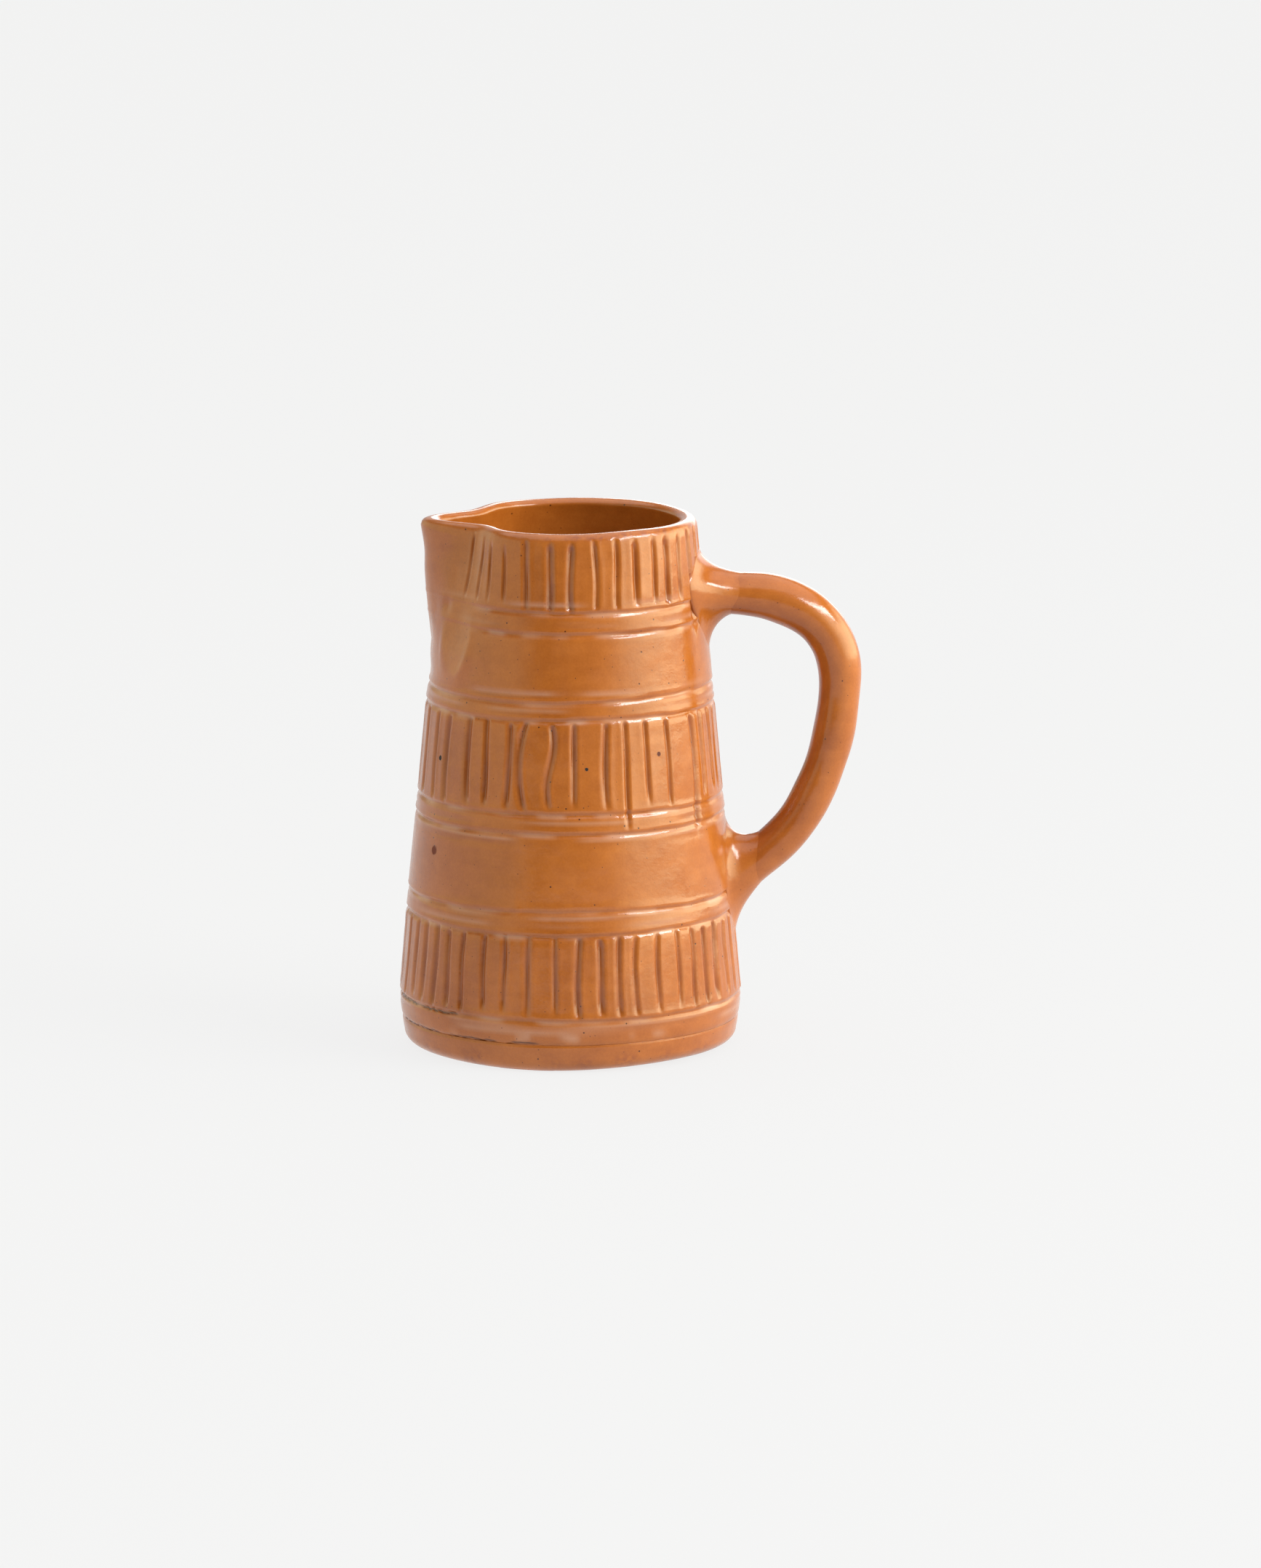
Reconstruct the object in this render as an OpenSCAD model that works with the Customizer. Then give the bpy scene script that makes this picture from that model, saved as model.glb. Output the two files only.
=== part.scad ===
// A hand-made glazed jug: a conical body with a pulled spout and a round loop handle.
// Millimetres, +Z up. The origin is the middle of the foot, on the axis of the body.
// The spout points to -X and the handle to +X.

/* [Body] */
// Height from the foot to the top of the rim
pot_h = 200; // [190:1:215]
// Outer radius at the widest place, low on the body
belly_r = 64.3; // [60:0.1:68]
// Height of the widest place
belly_z = 21; // [18:0.5:24]
// Outer radius at the rim, away from the spout
rim_r = 47.6; // [45:0.2:50]
// Radius of the flat that the jug stands on
foot_r = 56; // [52:0.5:58]
// Thickness of the wall
wall_t = 6.5; // [5:0.25:7.5]
// Thickness of the slab that closes the bottom
slab_t = 10.8; // [9:0.2:13]

/* [Spout] */
// How far the tip of the spout is pulled out
spout_pull = 7.8; // [4:0.2:10]
// Half-width of the pulled tip, as an angle around the body
spout_half = 15; // [12:0.5:18]
// How far the valleys on each side of the spout are pressed in
pinch_depth = 6; // [3:0.2:7]
// Angle from the tip of the spout to each valley
pinch_at = 36; // [32:1:42]
// Height at which the spout begins to leave the body
throat_z = 154; // [143:1:157]
// How far the rim dips at the tip of the spout
spout_dip = 0.7; // [0:0.1:2]

/* [Turned lines] */
// Depth of the turned lines
line_depth = 0.8; // [0.3:0.1:1.2]
// Width of the turned lines
line_w = 2.8; // [2:0.1:3.6]

/* [Handle] */
// Thickness of the round bar of clay
handle_d = 15.6; // [13:0.2:18]
// Height of the middle of the bar where it leaves the body at the top
handle_z = 169.9; // [165:0.5:172]
// Distance from the axis of the body to the start of the first bend
straight_to = 71.2; // [66:0.2:74]
// Radius of the upper bend
upper_bend_r = 30; // [27:0.5:33]
// Radius of the long, easy bend of the grip
grip_bend_r = 107; // [95:1:120]
// Angle that the grip turns through
grip_bend_a = 26; // [22:1:28]
// Radius of the lower bend
lower_bend_r = 60; // [50:1:66]
// Angle that the lower bend turns through
lower_bend_a = 24.5; // [21:0.5:27]

/* [Clay at the joints] */
// How far from the middle of the bar the upper clay spreads on the wall
upper_clay_r = 17.5; // [14:0.5:20]
// How far the upper clay runs out along the bar
upper_clay_reach = 11; // [8:0.5:14]
// How far from the middle of the bar the lower clay spreads on the wall
lower_clay_r = 13.5; // [11:0.5:15]
// How far the lower clay runs out along the bar
lower_clay_reach = 17; // [10:0.5:19]

/* [Hidden] */
$fn = 96;

glaze = [0.74, 0.43, 0.18];
pale_glaze = [0.83, 0.55, 0.29];
handle_glaze = [0.69, 0.38, 0.15];

// The cone of the body narrows by this much for each millimetre of height.
taper = (belly_r - rim_r) / (pot_h - belly_z);
// Below the widest place the outline turns in along a parabola with this factor.
belly_curve = 0.0071;
// The rounding of the foot, and the seam where the wall stands on the slab.
foot_round = 5.5;
seam_depth = 0.8;
seam_h = 1.2;
above_seam = 4;
lip_h = 2.6;
// The hollow curve inside, where the wall meets the floor.
cove_r = 6;
// Turned lines come in pairs that border the decorated bands.
band_lines = [20, 51.3, 60, 89, 95.8, 130.5, 137.5];
neck_lines = [163, 171];
// The neck lines fade out over this angle towards the spout.
line_fade = 50;

// Half-widths of a valley beside the spout, of the dip of the rim and of the thicker clay at the tip.
valley_half = 16;
dip_half = 20;
tip_half = 14;
// How much thicker the wall is at the tip, as a share of its thickness.
tip_thickening = 0.12;

// Distances between the rows of points that shape the throat and the neck.
throat_gap = 3;
above_lines = 6;
neck_step = 5;
lip_gap = 2;
inner_step = 7;
// Sections are close together over these angles, each side of the spout and of the handle.
spout_sweep = 72;
handle_sweep = 24;
fine_step = 4;
coarse_count = 10;
coarse_step = (180 - handle_sweep - spout_sweep) / coarse_count;

handle_r = handle_d / 2;
// The clay at a joint stands this much clear of the bar at its thin end.
clay_edge = 0.4;
clay_step = 11.25;
// The balls that close the joints of the bar are larger than it by this much.
joint_swell = 0.05;
// The straight tail of the bar, long enough to go right into the wall.
tail_len = 36;
bends = [
    [upper_bend_r, 90],
    [grip_bend_r, grip_bend_a],
    [lower_bend_r, lower_bend_a]
];

// Outer radius of the body of revolution at height z.
function body_r(z) =
    z < belly_z ? belly_r - belly_curve * pow(belly_z - z, 2)
                : belly_r - (z - belly_z) * taper;

// 1 at the middle of a bump and about 0 two widths away from it.
function bump(distance, width) = exp(-pow(distance / width, 2));

// How far the spout has grown at height z: 0 at the throat and 1 at the rim.
function growth(z) =
    let (t = max(0, z - throat_z) / (pot_h - throat_z)) (t + sin(90 * min(t, 1))) / 2;

// Pull of the spout and press of its two valleys, a degrees around from the tip.
function spout_shift(a, z) =
    growth(z) * (spout_pull * bump(a, spout_half)
                 - pinch_depth * (bump(a - pinch_at, valley_half) + bump(a + pinch_at, valley_half)));

// The wall is a little thicker where the clay was drawn together at the tip.
function wall_here(a, z) = wall_t * (1 + tip_thickening * growth(z) * bump(a, tip_half));

// Three points of one turned line: its upper edge and lower edge lie on the wall.
function line_points(z, depth) = [
    [z - line_w / 2, 0],
    [z, -depth],
    [z + line_w / 2, 0]
];

// Outside of the wall, bottom to top, as height and depth below the smooth surface.
function outside_points(a) = concat(
    [[slab_t, -seam_depth], [slab_t + seam_h, 0], [slab_t + above_seam, 0]],
    [for (z = band_lines) each line_points(z, line_depth)],
    [[throat_z - throat_gap, 0], [throat_z + throat_gap, 0]],
    line_points(neck_lines[0], line_depth * (1 - bump(a, line_fade))),
    [[(neck_lines[0] + neck_lines[1]) / 2, 0]],
    line_points(neck_lines[1], line_depth * (1 - bump(a, line_fade))),
    [for (z = [neck_lines[1] + above_lines : neck_step : pot_h - lip_h - lip_gap]) [z, 0]]
);

// One upright section through the wall as a closed loop of [radius, height].
function section_points(a) = concat(
    [for (p = outside_points(a)) [body_r(p[0]) + spout_shift(a, p[0]) + p[1], p[0]]],
    let (
        out = body_r(pot_h) + spout_shift(a, pot_h),
        half = wall_here(a, pot_h) / 2
    )
    [for (t = [0 : 30 : 180]) [out - half + half * cos(t), pot_h - lip_h + lip_h * sin(t)]],
    [
        for (z = [pot_h - inner_step : -inner_step : throat_z - inner_step])
            [body_r(z) + spout_shift(a, z) - wall_here(a, z), z]
    ],
    let (inner = body_r(slab_t + cove_r) - wall_t)
    [
        for (t = [0 : 20 : 60])
            [inner - cove_r * (1 - cos(t)), slab_t + cove_r * (1 - sin(t))]
    ],
    [[body_r(slab_t + cove_r) - wall_t - cove_r / 2, slab_t]]
);

// Directions of the sections: close together at the spout and at the handle.
section_angles = concat(
    [for (a = [-spout_sweep : fine_step : spout_sweep]) a],
    [for (i = [1 : coarse_count - 1]) spout_sweep + i * coarse_step],
    [for (a = [180 - handle_sweep : fine_step : 180 + handle_sweep]) a],
    [for (i = [1 : coarse_count - 1]) 180 + handle_sweep + i * coarse_step]
);

// The same angle counted from -180 to 180, with 0 at the tip of the spout.
function from_tip(a) = a > 180 ? a - 360 : a;

// Puts one point of a section in its place around the axis, with the dip at the tip.
function placed(a, p) =
    let (dip = spout_dip * growth(p[1]) * bump(from_tip(a), dip_half))
    [-p[0] * cos(a), -p[0] * sin(a), p[1] - dip];

// Joins a ring of closed sections, each a list of points, into one solid.
module ring_solid(sections) {
    rows = len(sections[0]);
    cols = len(sections);
    faces = [
        for (c = [0 : cols - 1])
            for (r = [0 : rows - 1])
                let (
                    here = c * rows,
                    next = (c + 1) % cols * rows,
                    up = (r + 1) % rows
                )
                each [
                    [here + r, here + up, next + up],
                    [here + r, next + up, next + r]
                ]
    ];
    polyhedron([for (section = sections) each section], faces, convexity = 6);
}

module wall() {
    color(glaze)
    ring_solid([
        for (a = section_angles)
            [for (p = section_points(from_tip(a))) placed(a, p)]
    ]);
}

// A flat disc of clay with a rounded lower edge. Its upper edge is cut back at the seam.
module base_slab() {
    color(pale_glaze)
    rotate_extrude()
    polygon(concat(
        [[0, 0], [foot_r, 0]],
        [
            for (t = [15 : 15 : 90])
                [foot_r + (body_r(foot_round) - foot_r) * sin(t), foot_round * (1 - cos(t))]
        ],
        [
            [body_r(slab_t - seam_h), slab_t - seam_h],
            [body_r(slab_t) - seam_depth, slab_t],
            [0, slab_t]
        ]
    ));
}

// The solid that the cone of the body would fill, for cutting what is joined to it.
module body_envelope() {
    translate([0, 0, belly_z]) cylinder(h = pot_h - belly_z, r1 = belly_r, r2 = rim_r);
}

// A quarter of a ring of bar, or less: it starts at the origin along +X and turns down.
module bent_bar(r, a) {
    translate([0, 0, -r])
    rotate([0, -90, -90])
    rotate_extrude(angle = a)
    translate([r, 0])
    circle(r = handle_r);
}

// The bends of the handle one after another, and then its straight tail.
// A ball a hair wider than the bar closes each joint.
module bar_from(i) {
    sphere(r = handle_r + joint_swell);
    if (i < len(bends)) {
        r = bends[i][0];
        a = bends[i][1];
        bent_bar(r, a);
        translate([0, 0, -r]) rotate([0, a, 0]) translate([0, 0, r]) bar_from(i + 1);
    } else {
        rotate([0, 90, 0]) cylinder(h = tail_len, r = handle_r);
    }
}

module handle() {
    start = rim_r / 2;
    color(handle_glaze)
    difference() {
        union() {
            translate([start, 0, handle_z])
            rotate([0, 90, 0])
            cylinder(h = straight_to - start, r = handle_r);
            translate([straight_to, 0, handle_z]) bar_from(0);
        }
        body_envelope();
    }
}

// Way that the bar runs after n of its bends, in degrees down from +X.
function heading(n) = n == 0 ? 0 : heading(n - 1) + bends[n - 1][1];

// Where the middle of the bar is after n of its bends, as [distance from the axis, height].
function bar_point(n) =
    n == 0 ? [straight_to, handle_z]
           : let (r = bends[n - 1][0], h0 = heading(n - 1), h1 = heading(n))
             bar_point(n - 1) + r * [sin(h1) - sin(h0), cos(h1) - cos(h0)];

// How far a line from point p must run along d to come out of the cone of the wall.
function to_wall(p, d) =
    let (
        r = body_r(p[2]),
        a = pow(d[0], 2) - pow(taper * d[2], 2),
        b = p[0] * d[0] + r * taper * d[2],
        c = pow(p[0], 2) + pow(p[1], 2) - pow(r, 2)
    )
    (sqrt(b * b - a * c) - b) / a;

// Section through the clay at a joint, as distance from the middle of the bar and height
// above the wall: a hollow curve from the wall to the bar, the bore, and then the base.
function clay_points(base_r, reach) =
    let (
        edge_r = handle_r + clay_edge,
        bore_r = handle_r / cos(clay_step / 2)
    )
    concat(
        [
            for (t = [0 : 15 : 90])
                [base_r - (base_r - edge_r) * sin(t), reach * (1 - cos(t))]
        ],
        [[bore_r, reach]],
        [for (i = [0 : 2]) [bore_r + (base_r - bore_r) * i / 3, 0]]
    );

// Clay smoothed over a joint, around a bar that passes through origin and leaves along d.
module joint_clay(origin, d, base_r, reach) {
    above = [-d[2], 0, d[0]];
    front = [0, -1, 0];
    color(handle_glaze)
    ring_solid([
        for (f = [0 : clay_step : 359])
            [
                for (p = clay_points(base_r, reach))
                    let (q = origin + p[0] * (cos(f) * above + sin(f) * front))
                    q + (to_wall(q, d) + p[1]) * d
            ]
    ]);
}

module upper_joint_clay() {
    joint_clay([0, 0, handle_z], [1, 0, 0], upper_clay_r, upper_clay_reach);
}

module lower_joint_clay() {
    tail = bar_point(len(bends));
    down = heading(len(bends));
    joint_clay([tail[0], 0, tail[1]], [-cos(down), 0, sin(down)], lower_clay_r, lower_clay_reach);
}

base_slab();
wall();
handle();
upper_joint_clay();
lower_joint_clay();
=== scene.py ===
import math
import bpy
import numpy as np
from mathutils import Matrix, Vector


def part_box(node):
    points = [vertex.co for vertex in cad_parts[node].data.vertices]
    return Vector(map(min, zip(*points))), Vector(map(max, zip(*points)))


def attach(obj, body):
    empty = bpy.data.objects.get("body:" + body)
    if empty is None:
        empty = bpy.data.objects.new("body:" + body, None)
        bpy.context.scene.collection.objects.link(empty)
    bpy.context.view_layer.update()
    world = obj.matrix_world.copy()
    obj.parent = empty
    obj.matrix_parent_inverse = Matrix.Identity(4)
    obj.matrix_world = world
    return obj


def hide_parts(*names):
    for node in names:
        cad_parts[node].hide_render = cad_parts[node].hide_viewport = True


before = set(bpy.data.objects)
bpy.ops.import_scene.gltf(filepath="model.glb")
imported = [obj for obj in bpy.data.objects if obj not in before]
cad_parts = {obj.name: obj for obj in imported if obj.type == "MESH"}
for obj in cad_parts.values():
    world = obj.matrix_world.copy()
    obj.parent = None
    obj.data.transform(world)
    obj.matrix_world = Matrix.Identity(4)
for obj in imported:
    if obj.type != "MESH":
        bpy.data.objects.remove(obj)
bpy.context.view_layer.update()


# Base slab
# The bottom of the jug: a disc of red clay beaten flat on the wheel head. Its lower edge was rounded
# off with a thumb, and the wire that freed it from the wheel left shallow arcs underneath.
mm = 0.001
slab_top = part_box("base_slab")[1][2] / mm
belly_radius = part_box("wall")[1][1] / mm + 0.04
belly_height = 21
belly_turn_in = 0.0071
pot_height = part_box("wall")[1][2] / mm
body_taper = 0.0933
foot_radius = 56
foot_rounding = 5.5
foot_lift = 1.3
foot_lift_bearing = 58
seam_depth = 0.8
wire_pull = (-90, 40)
wire_depth = 0.16
wire_pitch = 1.9
spiral_step = 5.2
spiral_height = 0.35
centre_dip = 1.2
worn_share = 0.6


def body_radius(height):
    """Radius of the plain outside of the body, in mm: a cone above the belly, turned in below it."""
    cone = belly_radius - (height - belly_height) * body_taper
    below = belly_radius - belly_turn_in * (belly_height - height) ** 2
    return np.where(height < belly_height, below, cone)


def bump(distance, width):
    """1 at distance 0, falling to about 0 at two widths."""
    return np.exp(-(distance / width) ** 2)


def ramp(value, low, high):
    """0 below low and 1 above high, with an easy passage between them."""
    t = np.clip((value - low) / (high - low), 0, 1)
    return t * t * (3 - 2 * t)


def turn_from(bearing, centre):
    """Angle from centre round to bearing, in degrees from -180 to 180."""
    return (bearing - centre + 180) % 360 - 180


def hand_waver(bearing, seed, slowest, quickest):
    """A line that a hand can't hold quite steady as the wheel turns, about 1 at its largest."""
    chance = np.random.default_rng(seed)
    total = 0
    for beat in range(slowest, quickest + 1):
        total = total + chance.normal() * np.cos(np.radians(beat * bearing) + chance.uniform(0, 6.3))
    return total / math.sqrt(2 * (quickest - slowest + 1))


def spun(name, profile, steps, degrees=360):
    """A closed profile of (radius, height) in mm, drawn as a ring of points and spun round the axis."""
    bpy.ops.object.select_all(action="DESELECT")
    bpy.ops.mesh.primitive_circle_add(vertices=len(profile), radius=belly_radius * mm)
    piece = bpy.context.object
    piece.name = name
    piece.data.name = name
    profile = np.array(profile, float)
    corners = np.zeros((len(profile), 3))
    corners[:, 0] = profile[:, 0] * mm
    corners[:, 2] = profile[:, 1] * mm
    piece.data.vertices.foreach_set("co", corners.ravel())
    spin = piece.modifiers.new("spin", "SCREW")
    spin.angle = math.radians(degrees)
    spin.steps = steps
    spin.render_steps = steps
    spin.use_merge_vertices = degrees == 360
    spin.merge_threshold = 1e-7
    bpy.ops.object.modifier_apply(modifier="spin")
    return piece


def read_points(piece):
    """The mesh points of a piece, in mm."""
    points = np.zeros(len(piece.data.vertices) * 3)
    piece.data.vertices.foreach_get("co", points)
    return points.reshape(-1, 3) / mm


def place_points(piece, points):
    """Sets the mesh points of a piece, in mm."""
    piece.data.vertices.foreach_set("co", (points * mm).ravel())
    piece.data.update()


def bearing_of(points):
    """Degrees round the jug from the front, -Y: 90 at the handle and -90 at the spout."""
    return np.degrees(np.arctan2(points[:, 0], -points[:, 1]))


def on_axis(bearing, radius, height):
    """Points at those bearings, radii and heights."""
    angle = np.radians(bearing)
    return np.column_stack([radius * np.sin(angle), -radius * np.cos(angle), height])


def close_up(piece, gap=0.01):
    """Merges doubled points, fills open ends, turns every face outwards and shades it smooth."""
    bpy.ops.object.mode_set(mode="EDIT")
    bpy.ops.mesh.select_all(action="SELECT")
    bpy.ops.mesh.remove_doubles(threshold=gap * mm)
    bpy.ops.mesh.fill_holes(sides=0)
    bpy.ops.mesh.normals_make_consistent(inside=False)
    bpy.ops.object.mode_set(mode="OBJECT")
    bpy.ops.object.shade_smooth()


def mark(piece, name, values):
    """Writes one number for each point of a piece, which its glaze reads."""
    attribute = piece.data.attributes.new(name, "FLOAT", "POINT")
    attribute.data.foreach_set("value", np.asarray(values, np.float32))


def uneven_foot(points, bearing, radius, height):
    """The foot sits a little askew: its edge is worn higher at the right of the front."""
    low = ramp(radius, 47, 60) * (1 - ramp(height, 2, 15))
    lift = foot_lift * bump(turn_from(bearing, foot_lift_bearing), 42)
    lift = lift + 0.25 * hand_waver(bearing, 3, 1, 5)
    return points + np.column_stack([0 * low, 0 * low, np.maximum(lift, -0.1) * low])


def seam_cut(bearing, height):
    """Depth of the seam between wall and slab: sharp at the left, nearly wiped away at the right."""
    depth = seam_depth * (0.3 + 0.35 * bump(turn_from(bearing, -50), 40))
    return depth * bump(height - slab_top, 0.7) + 0.2 * bump(height - slab_top, 2.5)


# The profile: round the foot edge and up to the seam, in over the top, and out again underneath.
slab_edge = [(foot_radius - 8, 0), (foot_radius - 4, 0), (foot_radius, 0)]
for turn in np.arange(10, 91, 10):
    reach = math.sin(math.radians(turn))
    rise = 1 - math.cos(math.radians(turn))
    wide = float(body_radius(foot_rounding))
    slab_edge.append((foot_radius + (wide - foot_radius) * reach, foot_rounding * rise))
for level in (6.8, 8, 8.8, 9.4, 9.8, 10.1, 10.4, 10.65, slab_top):
    slab_edge.append((float(body_radius(level)), level))
floor_rings = [(reach, slab_top) for reach in np.linspace(foot_radius, 0.05, 36)]
wire_rings = [(reach, 0) for reach in np.linspace(0.05, foot_radius - 11, 36)]
base_slab = spun("base_slab", slab_edge + floor_rings + wire_rings, 384)
points = read_points(base_slab)
bearing = bearing_of(points)
radius = np.hypot(points[:, 0], points[:, 1])
height = points[:, 2]

# Underneath, the arcs of the wire. On top, the spiral and the dip that the potter's fingers left.
from_pull = np.hypot(points[:, 0] - wire_pull[0], points[:, 1] - wire_pull[1])
wire_arcs = wire_depth * np.sin(from_pull * wire_pitch)
wire_arcs = wire_arcs * (1 - ramp(radius, 44, 52)) + wire_depth
spiral = np.sin((radius / spiral_step - bearing / 360) * 2 * math.pi)
floor_shape = spiral_height * spiral * ramp(radius, 4, 14) - centre_dip * bump(radius, 5)
floor_shape = floor_shape * (1 - ramp(radius, 47, 54))
points[:, 2] = np.where(height < 0.001, wire_arcs * (radius < foot_radius - 1), height)
points[:, 2] = np.where(height > slab_top - 0.001, height + floor_shape, points[:, 2])
inward = seam_cut(bearing, height) * ramp(radius, 50, 60) / radius
points[:, :2] -= points[:, :2] * inward[:, None]
points = uneven_foot(points, bearing, radius, height)
place_points(base_slab, points)
worn_foot = bump(height - 3.5, 3) * ramp(hand_waver(bearing, 90, 4, 30), -0.3, 0.8)
worn_foot = worn_foot * ramp(radius, 50, 56)
mark(base_slab, "thin", worn_share * worn_foot)
close_up(base_slab, 0.12)


def linear(code):
    """An sRGB hex colour as the linear RGBA that the shader sockets take."""
    parts = [int(code[i:i + 2], 16) / 255 for i in (0, 2, 4)]
    parts = [c / 12.92 if c <= 0.04045 else ((c + 0.055) / 1.055) ** 2.4 for c in parts]
    return (*parts, 1)


def add_node(tree, kind, inputs, **settings):
    """Adds a node with its settings. An input is a number, a colour or another node's output."""
    made = tree.nodes.new(kind)
    for key, value in settings.items():
        setattr(made, key, value)
    for key, value in inputs.items():
        if isinstance(value, bpy.types.NodeSocket):
            tree.links.new(value, made.inputs[key])
        else:
            made.inputs[key].default_value = value
    return made


# Lead glaze over terracotta: dipped, runny honey-coloured glass about 0.3 mm thick, fired over red
# clay. The eye sees a wet shine, deeper brown where it pooled in the cuts, iron specks from the clay
# and fine pinholes. Painted shade and a painted pale reflection along the turned lines are laid into
# its colour too. Its index of refraction is that of a lead glass, higher than window glass.
lead_glaze = bpy.data.materials.new("lead_glaze_over_terracotta")
lead_glaze.use_nodes = True
tree = lead_glaze.node_tree
shader = tree.nodes["Principled BSDF"]
shader.inputs["IOR"].default_value = 1.58
place = add_node(tree, "ShaderNodeTexCoord", {}).outputs["Object"]


def patches(tree, layers, others=()):
    """Soft random patches from 0 to 1 laid over each other, and other patterns added to them.

    Each layer has the coordinates it lies on, the size of its patches in mm, its detail and its
    weight. Each of the others is an output and its weight.
    """
    weighted = []
    for where, size, detail, weight in layers:
        spots = add_node(tree, "ShaderNodeTexNoise",
                         {"Vector": where, "Scale": 1 / (size * mm), "Detail": detail})
        weighted.append((spots.outputs["Fac"], weight))
    total = 0
    for pattern, weight in weighted + list(others):
        total = add_node(tree, "ShaderNodeMath", {0: pattern, 1: weight, 2: total},
                         operation="MULTIPLY_ADD").outputs[0]
    return total


# Clouds where the coat is thicker, mottling, faint streaks left by the wheel, and the clay's grit.
wheel_way = add_node(tree, "ShaderNodeMapping", {"Vector": place, "Scale": (1, 1, 6)}).outputs["Vector"]
coat = patches(tree, [(place, 30, 2.0, 1), (place, 5, 4.0, 0.6), (wheel_way, 18, 3.0, 0.35),
                      (place, 0.8, 2.0, 0.45)])
coat = add_node(tree, "ShaderNodeMapRange", {"Value": coat, "From Min": 0.85, "From Max": 1.55})
honey = add_node(tree, "ShaderNodeMixRGB", {"Fac": coat.outputs["Result"], "Color1": linear("bb6b29"),
                                            "Color2": linear("a0551b")}).outputs["Color"]

# Over the honey, brown where the glaze pooled in the cuts, which is also painted shade on the turned
# lines and on the inner side of the handle, and a pale mauve painted reflection along the lines.
pooled_glaze_and_shade = add_node(tree, "ShaderNodeAttribute", {}, attribute_name="pooled_glaze_and_shade").outputs["Fac"]
pooled_glaze_and_shade = add_node(tree, "ShaderNodeMath", {0: pooled_glaze_and_shade, 1: 0.6}, operation="MULTIPLY").outputs[0]
painted_reflection = add_node(tree, "ShaderNodeAttribute", {}, attribute_name="painted_reflection").outputs["Fac"]
colours_over = [(pooled_glaze_and_shade, "7d350c"), (painted_reflection, "cfa68f")]

# Iron specks: a few in each square centimetre, about 0.7 mm across, and smaller ones of about 0.4 mm
# between them. Both are a little coarser than real ones, so that they show.
specks = []
for spacing, reach, share in ((5.4, 0.42, 0.5), (2.7, 0.25, 0.5)):
    cells = add_node(tree, "ShaderNodeTexVoronoi", {"Vector": place, "Scale": 1 / (spacing * mm)})
    chosen = add_node(tree, "ShaderNodeSeparateColor", {"Color": cells.outputs["Color"]})
    near = add_node(tree, "ShaderNodeMapRange",
                    {"Value": cells.outputs["Distance"], "From Min": reach / spacing,
                     "From Max": 0.55 * reach / spacing})
    keep = add_node(tree, "ShaderNodeMath", {0: chosen.outputs["Red"], 1: share},
                    operation="GREATER_THAN")
    speck = add_node(tree, "ShaderNodeMath", {0: near.outputs["Result"], 1: keep.outputs[0]},
                     operation="MULTIPLY").outputs[0]
    specks.append(speck)
    faint = add_node(tree, "ShaderNodeMath", {0: speck, 1: 0.95}, operation="MULTIPLY").outputs[0]
    colours_over.append((faint, "3c1506"))

# One large iron spot and three open pinholes, each with a ragged edge at its own place on the wall.
blemishes = [
    # bearing, height, radius, colour
    (-59, 78.5, 1.8, "6e2c0c"),
    (-60, 113, 1.05, "120503"),
    (6.7, 113.6, 0.75, "120503"),
    (36.9, 117.4, 0.9, "5a2510")
]
ragged = patches(tree, [(place, 0.9, 1.0, 1)])
pits = 0
for at, level, reach, colour in blemishes:
    spot = Vector(on_axis(at, float(body_radius(level)), level)[0]) * mm
    away = add_node(tree, "ShaderNodeVectorMath", {0: place, 1: spot}, operation="DISTANCE")
    away = add_node(tree, "ShaderNodeMath",
                    {0: ragged, 1: -0.5 * reach * mm, 2: away.outputs["Value"]},
                    operation="MULTIPLY_ADD").outputs[0]
    near = add_node(tree, "ShaderNodeMapRange", {"Value": away, "From Min": 0.85 * reach * mm,
                                                 "From Max": 0.55 * reach * mm}).outputs["Result"]
    colours_over.append((near, colour))
    pits = add_node(tree, "ShaderNodeMath", {0: near, 1: pits}, operation="MAXIMUM").outputs[0]

# Browner clay where the coat is thin on a worn edge, and dark clay where the wet wall tore.
thin = add_node(tree, "ShaderNodeAttribute", {}, attribute_name="thin").outputs["Fac"]
patchy = add_node(tree, "ShaderNodeMapRange", {"Value": patches(tree, [(place, 2.2, 3.0, 1)]),
                                               "From Min": 0.4, "From Max": 0.6}).outputs["Result"]
thin = add_node(tree, "ShaderNodeMath", {0: thin, 1: patchy}, operation="MULTIPLY").outputs[0]
torn = add_node(tree, "ShaderNodeAttribute", {}, attribute_name="torn").outputs["Fac"]
for part, colour in colours_over + [(thin, "8a4526"), (torn, "431906")]:
    honey = add_node(tree, "ShaderNodeMixRGB", {"Fac": part, "Color1": honey,
                                                "Color2": linear(colour)}).outputs["Color"]
tree.links.new(honey, shader.inputs["Base Color"])

# The skin of the glaze: long soft undulations, orange peel and fine grit. The larger specks sit in
# small pits and the smaller ones stand out as grains.
skin = patches(tree, [(place, 6, 1.0, 1), (place, 1.6, 2.0, 0.42), (place, 0.6, 2.0, 0.24)],
               [(specks[0], -0.35), (specks[1], 0.3)])
relief = add_node(tree, "ShaderNodeBump", {"Height": skin, "Distance": 0.09 * mm, "Strength": 1.0})
tree.links.new(relief.outputs["Normal"], shader.inputs["Normal"])

# Use has dulled the shine in patches, most of all where the coat is thin and in the pits.
dulled = patches(tree, [(place, 9, 3.0, 1), (place, 1.1, 2.0, 0.5)], [(thin, 0.5)])
dulled = add_node(tree, "ShaderNodeMapRange", {"Value": dulled, "From Min": 0.55, "From Max": 1.05,
                                               "To Min": 0.13, "To Max": 0.27}).outputs["Result"]
dulled = add_node(tree, "ShaderNodeMath", {0: pits, 1: 0.6, 2: dulled}, operation="MULTIPLY_ADD")
tree.links.new(dulled.outputs[0], shader.inputs["Roughness"])

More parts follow.
